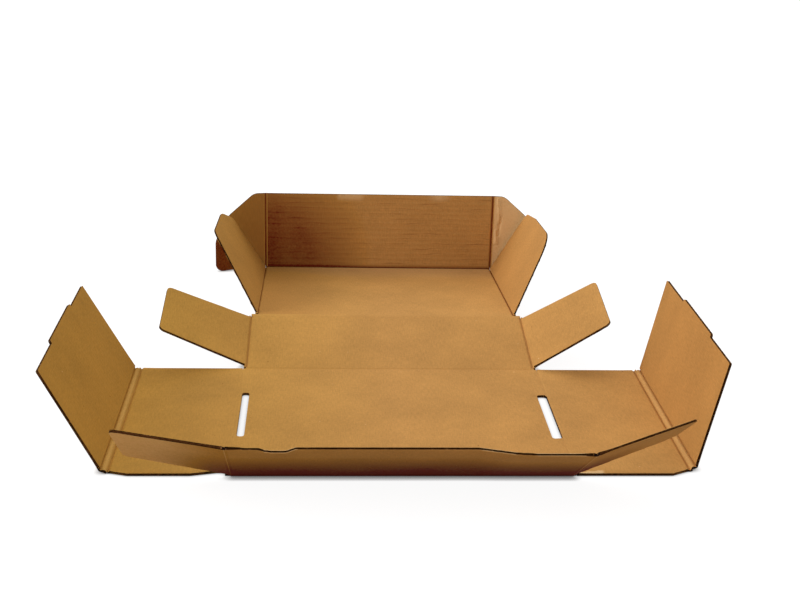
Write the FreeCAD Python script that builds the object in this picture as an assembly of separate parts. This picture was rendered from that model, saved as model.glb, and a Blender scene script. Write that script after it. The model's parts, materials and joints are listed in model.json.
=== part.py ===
"""Corrugated mailer box, opened out and half folded.

One die-cut blank of corrugated board.  The base lies flat on the table with a side wall on each side.
Each side wall carries a roll-over panel on a double score, and the roll-over's tab fits a slot in the base.
The front and back walls carry corner flaps, and the back wall carries the lid with its side flaps, tuck
flap and tuck ears.

Every panel is drawn flat in a frame of its own: the origin is on its own fold line, +X runs along that
line, +Y runs away from it across the panel, and +Z is the inside face.  fold_from() then turns it about the
line.  The board is crushed from the inside down to a thin lip at every score, and the fold line runs
along the top of that lip.

Millimetres.  The origin is the middle of the base's underside, +X is right, +Y is back, +Z is up.
"""
import FreeCAD
import Part

import math
import os

from FreeCAD import Placement, Rotation, Vector

# Board
BOARD = 2.8                    # thickness of the corrugated board
LIP = 1.35                     # board left at a score, on the outside face
CRUSH = BOARD - LIP            # depth of a score below the inside face
SCORE_FLARE = 0.2              # extra half-width of a score at the inside face, past 45 degrees
SCORE_GAP = 0.2                # play between two lips on a fold line
LIP_RELIEF = 0.19              # slope of a lip's end, so that a fold can open past flat
OVERCUT = 1.0                  # a cutter reaches this far past the board's faces

# Clearances
LAYER_GAP = 0.3                # play between two layers of board that fold over each other
TAB_GAP = 1.8                  # play between a tab and the inner edge of its slot
TAB_END_GAP = 1.5              # play between a tab and each end of its slot
EDGE_GAP = 2.5                 # knife cut between a flap and the panel beside it
LID_PLAY = 3.3                 # play between the tuck flap and the front wall

# Panels
BASE_WIDTH = 300.0             # between the side walls' fold lines
BASE_DEPTH = 225.0             # between the front and back walls' fold lines
SIDE_HEIGHT = 102.0            # side wall, fold line to fold line
FRONT_FLAP_LENGTH = 91.0
FRONT_FLAP_START = 4.0         # knife cut between the flap and the side wall
FRONT_FLAP_TIP_INSET = {"left": 14.0, "right": 24.0}   # lower edge of a front corner flap, at its tip
FRONT_FLAP_TOP_DROP = {"left": 0.0, "right": 6.0}      # upper edge; the right flap's is worn down
BACK_FLAP_LENGTH = {"left": 96.0, "right": 92.5}
BACK_FLAP_START = {"left": 7.0, "right": 5.0}          # knife cut between the flap and the side wall
BACK_FLAP_TIP_INSET = {"left": 12.0, "right": 10.0}    # lower edge of a back corner flap, at its tip
BACK_FLAP_TOP_DROP = 10.0                              # and its upper edge
TUCK_HEIGHT = 95.0
LID_FLAP_OVER_TUCK = {"left": 1.0, "right": -3.5}      # how much higher a lid flap is than the tuck flap
LID_FLAP_FRONT_RUN = 50.0      # how far the lid flap's front edge slants back
LID_FLAP_SHOULDER_RUN = 150.0  # where its outer edge starts to fall towards the rear
LID_FLAP_SHOULDER_DROP = {"left": 19.0, "right": 5.0}  # and how far it falls
LID_FLAP_REAR_SLOPE = 0.19     # slant of the lid flap's rear edge
LID_FLAP_START = 5.0           # lid flap's fold line starts this far behind the lid's front edge
EAR_LENGTH = {"left": 62.0, "right": 55.0}
EAR_FOOT_DROP = 2.2            # an ear's lower edge ends this far below the lid's fold line
EAR_SHOULDER = 14.0            # where an ear's top edge turns down
EAR_KNEE_LENGTH = 48.0         # middle of an ear's rounded shoulder, from its fold line
EAR_KNEE_HEIGHT = 66.0         # and above the lid
EAR_OUTER_HEIGHT = 36.0        # where the shoulder meets the ear's outer edge

# Edges
TAB_LENGTH = 92.0              # along the roll-over panel
TAB_FROM_BACK = {"left": 61.0, "right": 64.5}          # from the back fold line to the tab's near end
SLOT_OUTER_INSET = {"left": 2.7, "right": 0.0}         # slot's outer edge, inside the side wall's fold line
SIDE_OVERHANG = 0.4            # a side wall covers the edges of the front and back walls by this much
RELIEF_DEPTH = 5.0             # the left side wall's front edge is cut back this far next to its fold line
RELIEF_RISE = 10.0             # up to this distance from it,
RELIEF_END = 32.0              # and is straight again from this distance on
ROLL_BACK_INSET = 2.3          # spine's and roll-over's back edge, before the back fold line
CORNER_RUN = 17.0              # slanted front corner of each side wall, along its front edge
CORNER_RISE = {"left": 5.0, "right": 8.5}              # and across it
ROLL_FRONT_INSET = {"left": 3.5, "right": 9.0}         # spine's front edge, behind the front fold line
ROLL_TIP_INSET = {"left": 12.0, "right": 9.0}          # and the roll-over's, at its outer corner

# Corner radii
KNIFE_RADIUS = 1.5
TAB_RADIUS = 2.5
FLAP_RADIUS = 6.0
LID_FLAP_FRONT_RADIUS = {"left": 14.0, "right": 40.0}
LID_FLAP_SHOULDER_RADIUS = 60.0
LID_FLAP_REAR_RADIUS = 12.0
EAR_TOP_RADIUS = 14.0
EAR_KNEE_RADIUS = 40.0
EAR_OUTER_RADIUS = 20.0
EAR_FOOT_RADIUS = 8.0
SLOT_RADIUS = 3.0

# Fold angles as the box lies, from flat, in degrees; inwards is positive
SPINE_FOLD = {"left": 20.0, "right": 23.5}
ROLL_FOLD = {"left": 40.8, "right": 55.5}
FRONT_FOLD = 39.5
FRONT_FLAP_FOLD = {"left": 9.0, "right": 19.2}
BACK_FOLD = 10.4
BACK_FLAP_FOLD = {"left": 25.0, "right": 34.0}
LID_FLAP_FOLD = {"left": 59.0, "right": 61.5}
TUCK_FOLD = 92.0
EAR_FOLD = {"left": 11.0, "right": 9.0}
TABLE_GAP = 0.15               # the lid's rear edge hangs this little above the table

# The front wall has taken a bend: its right end leans further out than the rest
FRONT_BEND = 2.8               # how much less the right end is folded, in degrees
BEND_START = 48.0              # the bend runs between these distances right of the middle
BEND_END = 92.0

# Worked out from the sizes above
HALF_WIDTH = BASE_WIDTH / 2
HALF_DEPTH = BASE_DEPTH / 2
SPINE_WIDTH = 2 * CRUSH + BOARD + 2 * LAYER_GAP + SCORE_GAP / 2   # room for a corner flap inside
ROLL_HEIGHT = SIDE_HEIGHT - CRUSH - LAYER_GAP               # stands on the base when folded in
TAB_DEPTH = BOARD + LAYER_GAP                               # reaches through the base's slot
WALL_HALF_WIDTH = HALF_WIDTH - BOARD - LAYER_GAP            # front and back walls' flap fold lines
BACK_HEIGHT = SIDE_HEIGHT + BOARD + LAYER_GAP               # the lid closes over the spines
FLAP_TOP = SIDE_HEIGHT - CRUSH - LAYER_GAP                  # corner flaps end under the spines
FRONT_HEIGHT = FLAP_TOP + LAYER_GAP                         # front wall, fold line to top edge
LID_HALF_WIDTH = HALF_WIDTH - SPINE_WIDTH - 2 * LIP - LAYER_GAP   # lid flaps go between the roll-overs
LID_DEPTH = BASE_DEPTH - BOARD - LAYER_GAP - LID_PLAY       # the tuck flap goes behind the front wall
SLOT_INNER = HALF_WIDTH - SPINE_WIDTH - LIP - TAB_GAP       # inner edge of a slot
LID_FOLD = -BACK_FOLD - math.degrees(math.asin(
    (BACK_HEIGHT * math.sin(math.radians(BACK_FOLD)) - TABLE_GAP) / LID_DEPTH))

SIDES = {"left": -1, "right": 1}
LONG = 2 * (BASE_WIDTH + BASE_DEPTH)        # longer than any fold line


def rounded_wire(corners):
    """Closed outline through (x, y, radius) corners, each rounded by an arc."""
    starts, ends, arcs = [], [], []
    count = len(corners)
    for index, (x, y, radius) in enumerate(corners):
        here = Vector(x, y, 0)
        before = Vector(*corners[index - 1][:2], 0) - here
        after = Vector(*corners[(index + 1) % count][:2], 0) - here
        if radius == 0:
            starts.append(here)
            ends.append(here)
            arcs.append(None)
            continue
        before.normalize()
        after.normalize()
        half = before.getAngle(after) / 2
        reach = radius / math.tan(half)
        bisector = (before + after).normalize()
        middle = here + bisector * (radius / math.sin(half) - radius)
        starts.append(here + before * reach)
        ends.append(here + after * reach)
        arcs.append(Part.Arc(starts[-1], middle, ends[-1]).toShape())
    edges = []
    for index in range(count):
        if arcs[index]:
            edges.append(arcs[index])
        edges.append(Part.LineSegment(ends[index], starts[(index + 1) % count]).toShape())
    return Part.Wire(edges)


def score_cutter(x, y, heading):
    """Removes what lies beyond a fold line and crushes the board beside it; heading points to the panel."""
    top = CRUSH + OVERCUT
    bottom = LIP + OVERCUT
    half_gap = SCORE_GAP / 2
    flare = (CRUSH + SCORE_FLARE) / CRUSH
    section = [
        (-BOARD, top),
        (half_gap + top * flare, top),
        (half_gap, 0),
        (half_gap + bottom * LIP_RELIEF, -bottom),
        (-BOARD, -bottom),
    ]
    wire = Part.makePolygon([Vector(-LONG / 2, a, b) for a, b in section + section[:1]])
    cutter = Part.Face(wire).extrude(Vector(LONG, 0, 0))
    cutter.Placement = Placement(Vector(x, y, 0), Rotation(Vector(0, 0, 1), heading))
    return cutter


def board_panel(corners, far_folds=(), own_fold=True):
    """A flat panel with the outline given, scored at its own fold line and at those of what it carries.

    far_folds are (x, y, heading) with heading the way the carried panel goes, 0 for +Y, 90 for -X.
    """
    sheet = Part.Face(rounded_wire(corners))
    sheet.translate(Vector(0, 0, -LIP))
    panel = sheet.extrude(Vector(0, 0, BOARD))
    cutters = [score_cutter(x, y, heading + 180) for x, y, heading in far_folds]
    if own_fold:
        cutters.append(score_cutter(0, 0, 0))
    for cutter in cutters:
        panel = panel.cut(cutter)
    return panel


def fold_from(parent, x, y, heading, fold):
    """Where a panel lies whose fold line is at (x, y) on its parent, going off at heading."""
    seat = Placement(Vector(x, y, 0), Rotation(Vector(0, 0, 1), heading))
    turn = Placement(Vector(0, 0, 0), Rotation(Vector(1, 0, 0), fold))
    return parent.multiply(seat).multiply(turn)


def slot_cutter(name):
    """The slot in the base for a roll-over's tab."""
    side = SIDES[name]
    outer = HALF_WIDTH - SLOT_OUTER_INSET[name]
    near = HALF_DEPTH - TAB_FROM_BACK[name] + TAB_END_GAP
    far = HALF_DEPTH - TAB_FROM_BACK[name] - TAB_LENGTH - TAB_END_GAP
    wire = rounded_wire([
        (side * SLOT_INNER, near, SLOT_RADIUS),
        (side * outer, near, SLOT_RADIUS),
        (side * outer, far, SLOT_RADIUS),
        (side * SLOT_INNER, far, SLOT_RADIUS),
    ])
    cutter = Part.Face(wire).extrude(Vector(0, 0, BOARD + 2 * OVERCUT))
    cutter.translate(Vector(0, 0, -LIP - OVERCUT))
    return cutter


def make_base():
    corners = [
        (-HALF_WIDTH, -HALF_DEPTH, 0),
        (HALF_WIDTH, -HALF_DEPTH, 0),
        (HALF_WIDTH, HALF_DEPTH, 0),
        (-HALF_WIDTH, HALF_DEPTH, 0),
    ]
    folds = [
        (0, HALF_DEPTH, 0),
        (0, -HALF_DEPTH, 180),
        (HALF_WIDTH, 0, -90),
        (-HALF_WIDTH, 0, 90),
    ]
    panel = board_panel(corners, folds, own_fold=False)
    for name in SIDES:
        panel = panel.cut(slot_cutter(name))
    return panel


def make_side_wall(name):
    """Side wall; x is towards the front on the right side, and towards the back on the left."""
    side = SIDES[name]
    front = HALF_DEPTH + SIDE_OVERHANG
    foot = [(side * front, 0, 0)]
    if name == "left":
        relief = side * (front - RELIEF_DEPTH)
        foot = [
            (relief, 0, 0),
            (relief, RELIEF_RISE, KNIFE_RADIUS),
            (side * front, RELIEF_END, KNIFE_RADIUS),
        ]
    return board_panel([
        (-side * front, 0, 0),
        *foot,
        (side * front, SIDE_HEIGHT - CORNER_RUN, KNIFE_RADIUS),
        (side * (front - CORNER_RISE[name]), SIDE_HEIGHT, 0),
        (-side * front, SIDE_HEIGHT, 0),
    ], [(0, SIDE_HEIGHT, 0)])


def make_spine(name):
    """The narrow strip between the two scores of a roll-over."""
    side = SIDES[name]
    front = HALF_DEPTH - ROLL_FRONT_INSET[name]
    back = -HALF_DEPTH + ROLL_BACK_INSET
    return board_panel([
        (side * back, 0, 0),
        (side * front, 0, 0),
        (side * front, SPINE_WIDTH, 0),
        (side * back, SPINE_WIDTH, 0),
    ], [(0, SPINE_WIDTH, 0)])


def make_rollover(name):
    """Inner wall that rolls over the corner flaps, with the tab that locks it into the base."""
    side = SIDES[name]
    front = HALF_DEPTH - ROLL_FRONT_INSET[name]
    back = -HALF_DEPTH + ROLL_BACK_INSET
    tab_back = -HALF_DEPTH + TAB_FROM_BACK[name]
    tab_front = tab_back + TAB_LENGTH
    tab_top = ROLL_HEIGHT + TAB_DEPTH
    return board_panel([
        (side * back, 0, 0),
        (side * front, 0, 0),
        (side * (HALF_DEPTH - ROLL_TIP_INSET[name]), ROLL_HEIGHT, KNIFE_RADIUS),
        (side * tab_front, ROLL_HEIGHT, 0),
        (side * tab_front, tab_top, TAB_RADIUS),
        (side * tab_back, tab_top, TAB_RADIUS),
        (side * tab_back, ROLL_HEIGHT, 0),
        (side * back, ROLL_HEIGHT, KNIFE_RADIUS),
    ])


def front_section(x, bend):
    """The front wall's outline across the board at x, turned back by the bend."""
    half_gap = SCORE_GAP / 2
    section = [
        (half_gap, 0),
        (half_gap + CRUSH + SCORE_FLARE, CRUSH),
        (FRONT_HEIGHT, CRUSH),
        (FRONT_HEIGHT, -LIP),
        (half_gap + LIP * LIP_RELIEF, -LIP),
    ]
    wire = Part.makePolygon([Vector(x, a, b) for a, b in section + section[:1]])
    wire.rotate(Vector(0, 0, 0), Vector(1, 0, 0), -bend)
    return wire


def make_front_wall():
    """Front wall: flat as far as the bend, twisted through it, and flat again to the right end (at -x)."""
    end = WALL_HALF_WIDTH
    stations = [(end, 0), (-BEND_START, 0), (-BEND_END, FRONT_BEND), (-end, FRONT_BEND)]
    sections = [front_section(x, bend) for x, bend in stations]
    wall = None
    for near, far in zip(sections, sections[1:]):
        stretch = Part.makeLoft([near, far], True, True)
        wall = stretch if wall is None else wall.fuse(stretch)
    left_score = score_cutter(WALL_HALF_WIDTH, 0, 90)
    right_score = score_cutter(-WALL_HALF_WIDTH, 0, -90)
    right_score.rotate(Vector(0, 0, 0), Vector(1, 0, 0), -FRONT_BEND)
    return wall.cut(left_score).cut(right_score).removeSplitter()


def make_front_flap(name):
    """Front corner flap; x is up the wall on the right side, and down it on the left."""
    side = SIDES[name]
    return board_panel([
        (side * FRONT_FLAP_START, 0, 0),
        (side * FLAP_TOP, 0, 0),
        (side * (FLAP_TOP - FRONT_FLAP_TOP_DROP[name]), FRONT_FLAP_LENGTH, FLAP_RADIUS),
        (side * FRONT_FLAP_TIP_INSET[name], FRONT_FLAP_LENGTH, FLAP_RADIUS),
    ])


def make_back_wall():
    return board_panel([
        (-WALL_HALF_WIDTH, 0, 0),
        (WALL_HALF_WIDTH, 0, 0),
        (WALL_HALF_WIDTH, BACK_HEIGHT, 0),
        (-WALL_HALF_WIDTH, BACK_HEIGHT, 0),
    ], [(0, BACK_HEIGHT, 0), (WALL_HALF_WIDTH, 0, -90), (-WALL_HALF_WIDTH, 0, 90)])


def make_back_flap(name):
    """Back corner flap; x is down the wall on the right side, and up it on the left."""
    side = SIDES[name]
    return board_panel([
        (-side * BACK_FLAP_START[name], 0, 0),
        (-side * FLAP_TOP, 0, 0),
        (-side * (BACK_HEIGHT - BACK_FLAP_TOP_DROP), BACK_FLAP_LENGTH[name], FLAP_RADIUS),
        (-side * BACK_FLAP_TIP_INSET[name], BACK_FLAP_LENGTH[name], FLAP_RADIUS),
    ])


def make_lid():
    return board_panel([
        (-LID_HALF_WIDTH, 0, 0),
        (LID_HALF_WIDTH, 0, 0),
        (LID_HALF_WIDTH, LID_DEPTH, 0),
        (-LID_HALF_WIDTH, LID_DEPTH, 0),
    ], [(0, LID_DEPTH, 0), (LID_HALF_WIDTH, 0, -90), (-LID_HALF_WIDTH, 0, 90)])


def make_lid_flap(name):
    """Lid side flap; x is towards the lid's front edge on the right side, and away from it on the left."""
    side = SIDES[name]
    height = TUCK_HEIGHT + LID_FLAP_OVER_TUCK[name]
    shoulder = height - LID_FLAP_SHOULDER_DROP[name]
    rear = LID_DEPTH - EDGE_GAP - LAYER_GAP
    return board_panel([
        (-side * LID_FLAP_START, 0, 0),
        (-side * rear, 0, 0),
        (-side * (rear - LID_FLAP_REAR_SLOPE * shoulder), shoulder, LID_FLAP_REAR_RADIUS),
        (-side * LID_FLAP_SHOULDER_RUN, height, LID_FLAP_SHOULDER_RADIUS),
        (-side * LID_FLAP_FRONT_RUN, height, LID_FLAP_FRONT_RADIUS[name]),
    ])


def make_tuck_flap():
    return board_panel([
        (-LID_HALF_WIDTH, 0, 0),
        (LID_HALF_WIDTH, 0, 0),
        (LID_HALF_WIDTH, TUCK_HEIGHT, 0),
        (-LID_HALF_WIDTH, TUCK_HEIGHT, 0),
    ], [(LID_HALF_WIDTH, 0, -90), (-LID_HALF_WIDTH, 0, 90)])


def make_tuck_ear(name):
    """Tuck flap's ear; x is down the tuck flap on the right side, and up it on the left."""
    side = SIDES[name]
    return board_panel([
        (-side * EDGE_GAP, 0, 0),
        (-side * TUCK_HEIGHT, 0, 0),
        (-side * TUCK_HEIGHT, EAR_SHOULDER, EAR_TOP_RADIUS),
        (-side * EAR_KNEE_HEIGHT, EAR_KNEE_LENGTH, EAR_KNEE_RADIUS),
        (-side * EAR_OUTER_HEIGHT, EAR_LENGTH[name], EAR_OUTER_RADIUS),
        (side * EAR_FOOT_DROP, EAR_LENGTH[name], EAR_FOOT_RADIUS),
    ])


def build():
    """Every node's panel and where it lies, by the node's name."""
    nodes = {}
    base = Placement(Vector(0, 0, LIP), Rotation())
    front = fold_from(base, 0, -HALF_DEPTH, 180, FRONT_FOLD)
    front_ends = {"left": front, "right": fold_from(base, 0, -HALF_DEPTH, 180, FRONT_FOLD - FRONT_BEND)}
    back = fold_from(base, 0, HALF_DEPTH, 0, BACK_FOLD)
    lid = fold_from(back, 0, BACK_HEIGHT, 0, LID_FOLD)
    tuck = fold_from(lid, 0, LID_DEPTH, 0, TUCK_FOLD)
    nodes["base_panel"] = (make_base(), base)
    nodes["front_wall"] = (make_front_wall(), front)
    nodes["back_wall"] = (make_back_wall(), back)
    nodes["lid"] = (make_lid(), lid)
    nodes["tuck_flap"] = (make_tuck_flap(), tuck)
    for name, side in SIDES.items():
        wall = fold_from(base, side * HALF_WIDTH, 0, -90 * side, 0)
        spine = fold_from(wall, 0, SIDE_HEIGHT, 0, SPINE_FOLD[name])
        rollover = fold_from(spine, 0, SPINE_WIDTH, 0, ROLL_FOLD[name])
        front_flap = fold_from(front_ends[name], -side * WALL_HALF_WIDTH, 0, 90 * side, FRONT_FLAP_FOLD[name])
        back_flap = fold_from(back, side * WALL_HALF_WIDTH, 0, -90 * side, BACK_FLAP_FOLD[name])
        lid_flap = fold_from(lid, side * LID_HALF_WIDTH, 0, -90 * side, LID_FLAP_FOLD[name])
        ear = fold_from(tuck, side * LID_HALF_WIDTH, 0, -90 * side, EAR_FOLD[name])
        nodes[name + "_side_wall"] = (make_side_wall(name), wall)
        nodes[name + "_spine"] = (make_spine(name), spine)
        nodes[name + "_rollover"] = (make_rollover(name), rollover)
        nodes[name + "_front_flap"] = (make_front_flap(name), front_flap)
        nodes[name + "_back_flap"] = (make_back_flap(name), back_flap)
        nodes[name + "_lid_flap"] = (make_lid_flap(name), lid_flap)
        nodes[name + "_tuck_ear"] = (make_tuck_ear(name), ear)
    return nodes


def main():
    os.makedirs("parts", exist_ok=True)
    for name, (panel, placement) in build().items():
        solid = panel.transformed(placement.toMatrix())
        if len(solid.Solids) != 1 or not solid.isValid():
            raise ValueError(name + " is not one valid solid")
        solid.Solids[0].exportStep("parts/" + name + ".step")


if __name__ == "__main__":
    main()
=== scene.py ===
"""Corrugated mailer box: the boards, creases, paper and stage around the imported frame.

Every panel is a real sandwich of paper: two liners with a fluted medium between them, so the cut edges show
open flutes.  The board is modelled flat, cut to the panel's outline and then laid in its place.  A crease is
a piece of its own that bends between the two panels it joins.
"""
import json
import math

import bpy
from bpy.props import FloatProperty, FloatVectorProperty, PointerProperty
from mathutils import Matrix, Vector

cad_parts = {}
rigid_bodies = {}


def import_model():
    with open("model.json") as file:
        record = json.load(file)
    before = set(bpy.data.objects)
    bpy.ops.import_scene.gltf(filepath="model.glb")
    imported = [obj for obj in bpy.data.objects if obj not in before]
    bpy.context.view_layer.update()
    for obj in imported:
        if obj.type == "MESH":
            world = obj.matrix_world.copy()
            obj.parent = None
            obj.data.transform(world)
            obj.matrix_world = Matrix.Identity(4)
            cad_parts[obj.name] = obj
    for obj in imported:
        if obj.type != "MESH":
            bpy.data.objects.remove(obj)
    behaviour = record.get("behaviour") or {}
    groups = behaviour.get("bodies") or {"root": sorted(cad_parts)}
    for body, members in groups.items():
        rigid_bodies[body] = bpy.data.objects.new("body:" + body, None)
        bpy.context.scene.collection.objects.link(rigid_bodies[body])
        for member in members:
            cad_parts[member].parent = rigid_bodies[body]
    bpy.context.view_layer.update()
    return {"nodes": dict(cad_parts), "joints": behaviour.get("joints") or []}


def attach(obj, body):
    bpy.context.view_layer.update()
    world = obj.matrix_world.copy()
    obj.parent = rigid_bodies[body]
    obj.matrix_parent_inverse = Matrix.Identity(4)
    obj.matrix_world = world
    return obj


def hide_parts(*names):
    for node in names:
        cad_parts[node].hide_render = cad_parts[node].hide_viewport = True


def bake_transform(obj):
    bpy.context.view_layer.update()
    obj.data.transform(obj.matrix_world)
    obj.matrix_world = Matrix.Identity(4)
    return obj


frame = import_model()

bl_info = {
    "name": "Corrugated Mailer Box",
    "version": (1, 0, 0),
    "blender": (4, 5, 0),
    "location": "View3D > Sidebar > Mailer",
    "description": "Builds the boards, creases and stage of a folding mailer box round its frame",
    "category": "Object",
}

NODES = frame["nodes"]
HINGES = {joint["child"]: joint for joint in frame["joints"]}
SIDES = ("left", "right")
MM = 0.001

DENTS = (                      # along the front wall's top edge: from, to (left is +), and share of the dent
    (94, 118, 1.0),
    (120, 134, 0.25),
    (98, 112, 0.25),
    (-96, -72, -0.25),
)
WORN = ("front_wall", "right_front_flap", "left_lid_flap", "right_lid_flap")   # their edges are worn thin
TORN = ((90, 116), (-84, -56), (-140, -98))    # where the outside liner is torn along that edge
RUBBED = ((-54, -20), (66, 90))                # and where the tuck flap's top edge is rubbed pale
CRUMPLES = (                   # on the right ear: from, to down its fold line, first distance, slant, height
    (-92, -62, 7.0, 0.10, 0.7),
    (-70, -44, 11.0, -0.12, -0.8),
    (-52, -34, 6.0, 0.05, 0.7),
)
CREASES = {                    # depth in mm, painted shade along the inside, painted highlight along the outside
    "side_wall": (0.2, 0.06, 0),
    "spine": (1.3, 0.45, 0),
    "rollover": (1.3, 0.45, 0),
    "front_wall": (1.3, 0.3, 0),
    "front_flap": (0.4, 0.1, 0.8),
    "back_wall": (0.3, 0.0, 0),
    "back_flap": (1.0, 0.35, 0),
    "lid": (0.3, 0.0, 0),
    "lid_flap": (1.3, 0.6, 0),
    "tuck_flap": (1.3, 1.3, 0),
    "tuck_ear": (1.3, 0.9, 0),
}
# Wear and painted light is a number for each point: below 0 the paper has painted shade, above 0 it is paler,
# where it is rubbed or torn and where light and highlights are painted.  Places are in mm in the panel's own flat
# frame, X along its fold and Y away from it.
DENT_REACH = 14                # how far a dent reaches down from the front wall's top edge
TORN_FROM = 99.8               # how far up the front wall its outside liner is torn
TORN_RUB = 0.9                 # and how pale the fibres are there
FRONT_WALL_LIGHT = 0.15                 # painted light all over the front wall's outside
FOOT_SHADE = (1.3, 1.55)            # painted shade at its foot: at its darkest, and what the fold would get without that limit
FLAP_FOOT_SHADE = 0.8               # how much of that painted shade the front flaps have
FLAP_BOUNCE_LIGHT = {"left": 0.9, "right": 0.2}         # and how much painted light, as from the table, they get on the outside
LEFT_SIDE_SHADE = 0.04              # painted shade on all of the left side wall
ROLLOVER_SHADE = 0.09          # and on both roll-overs
SCUFF = (112, 24, 0.9)         # at the right side wall's front end: from, how far up and how pale
LID_FRONT_LIGHT = 0.3                  # painted light on the lid towards the tuck flap, against the tuck flap's shadow there
LID_LEFT_SHADE = 0.2                # and painted shade towards its left side
# painted shade on both lid flaps
LID_FLAP_SHADE = 0.1
TUCK_SHADE_MIDDLE = (-133, 16)       # of the painted shade at the left end of the tuck flap
TUCK_SHADE_REACH = 104
TUCK_SHADE_DARKEST = 0.72
TUCK_SHADE_START = 1.2               # what its middle would get if nothing were darker than that
TUCK_SHADE_END = 0.12                # more of it at the flap's very end
TUCK_FOOT_SHADE = 0.7                # painted shade in the line at the tuck flap's foot
TUCK_CREASE_SHADE = 0.6              # and all over the inside of the crease there
TUCK_LIGHT = 0.08            # painted light all over the tuck flap
TUCK_RUB = 0.6                 # rubbing where its top edge is rubbed
TUCK_FLUTES = (0.55, 1.0)      # how far the flute lines show at the left, under the painted shade there, and at the right
EAR_SHADE = (0.3, 0.5)          # painted shade on all of the left ear, and more at its lower outer corner
EAR_HIGHLIGHT = 0.85                 # painted highlight all over the right ear
CRUMPLE_WIDTHS = (2.4, 1.2)    # a crumple rises in two steps, this far to each side of its line
CRUMPLE_HIGHLIGHT = 0.4              # more painted highlight on a crumple
CRUMPLE_SHADOW = (0.6, 0.9)             # and a painted shadow line on its crest: how far to each side, and how much less highlight
SPINE_RUB = 0.12               # on the spines and on the halves of the creases beside them

SLOT_RADIUS = 3                # of the corners of a tab's slot
MERGE = 1e-6                   # points nearer than this are one point
UPRIGHT = 0.25                 # a face whose normal rises less than this from the flat board stands upright
CREASE_ROWS = 10               # rows of faces across a crease
CRUSHED = 0.7                  # the middle of a crease that is crushed uneven, as a share of it
LEAST_HALF = 0.4               # half of the shortest way, in mm, that a crease can go from panel to panel
PLAY = 0.1                     # left free between two papers, as a share of the fluted one's thickness
MATH = "ShaderNodeMath"

LINER = "kraft linerboard"     # unbleached softwood paper off the machine: matt brown with a faint grain
MEDIUM = "fluted medium"       # thinner paper pressed into flutes between hot rollers: dull and in shade
EDGE = "die-cut edge"          # board cut through by a steel rule: dark gaps between pale torn fibres
FLOOR = "matt white backdrop"  # a white table top: no gloss, and only a faint shadow at the box's edge

# Sizes of the papers' patterns in mm.  The real paper's fibres, 1 to 3 mm long and 0.03 mm wide, and its grit are
# too fine to show, so they are drawn coarser than they are.
CLOUDS = 70.0                  # thicker and thinner patches of pulp
GRIT = 2.4
FIBRES = (1.1, 8.4)            # along the flutes and across them: the paper machine ran across the flutes
SPECKS = 14.0                  # spacing of the flecks of bark and of pale fibre
FLECK = (0.3, 0.8)             # from a fleck's middle to where it fades, and to where it ends
FLECK_TONE = 0.9               # how dark or how pale a fleck can be, as wear
WAVER = (45.0, 17.0)           # how the lines over the flutes waver, along them and across
BREAKS = (33.0, 6.6)           # and how they break off
LINE = (0.04, 0.2)             # half the width of such a line, and where it has faded, as a share of a flute
EDGE_FIBRES = 3.3              # between tufts of torn fibres along a cut edge
LEFT_SHADE_SPAN = (-260, 0)          # painted shade that yellows the paper: all of it left of the first place and none right of the other

FLOOR_SIZE = 30                # in metres
FLOOR_GLOW = 0.93              # the white that the camera sees on the floor, apart from what the lamps add
FLOOR_MATT = "7C7C7C"          # how much of the lamps' light it adds
LAMP_TARGET = Vector((0, 0.1, 0))
LAMPS = {                      # where each soft lamp stands and its diameter, in metres, and its power in watts
    "back_lamp": ((-0.2, 2.6, 2.6), 3.4, 58.0),
    "left_lamp": ((-3.2, 0.2, 1.3), 2.0, 57.0),
}


def linear(code):
    """An sRGB hex colour as linear red, green and blue."""
    channels = [int(code[i:i + 2], 16) / 255 for i in (0, 2, 4)]
    return tuple(c / 12.92 if c <= 0.04045 else ((c + 0.055) / 1.055) ** 2.4 for c in channels)


def length(name, description, millimetres):
    """A length setting."""
    return FloatProperty(name=name, description=description, default=millimetres * MM, min=0, unit="LENGTH")


def rotation(name, description, radians):
    """An angle setting."""
    return FloatProperty(name=name, description=description, default=radians, subtype="ANGLE", unit="ROTATION")


def fraction(name, description, value):
    """A setting between 0 and 1."""
    return FloatProperty(name=name, description=description, default=value, min=0, max=1, subtype="FACTOR")


def colour(name, description, code):
    """A colour setting."""
    return FloatVectorProperty(name=name, description=description, default=linear(code), size=3, min=0, max=1,
                               subtype="COLOR")


class BoardSettings(bpy.types.PropertyGroup):
    """The make-up of the board."""
    thickness: length("Board", "Thickness of the corrugated board", 2.8)
    lip: length("Lip", "From the board's outside face to the line that it folds about", 1.35)
    liner: length("Liner", "Thickness of each flat outer paper", 0.26)
    medium: length("Medium", "Thickness of the fluted paper", 0.20)
    flute: length("Flute", "Distance from one flute to the next", 6.4)
    washboard: length("Washboard", "How far a liner sinks between two flutes", 0.05)
    tuck_washboard: length("Tuck washboard", "And how far the tuck flap's sinks, which has been damp", 0.28)
    pinch: fraction("Pinched edge", "Thickness left at a cut edge, as a share", 0.85)
    worn_pinch: fraction("Worn edge", "And what is left at the edges that handling has worn", 0.6)
    crease_reach: length("Crease reach", "How far a crease reaches to each side of its fold line", 2.4)
    column: length("Column", "Distance between the board's points along a flute", 18.0)


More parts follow.
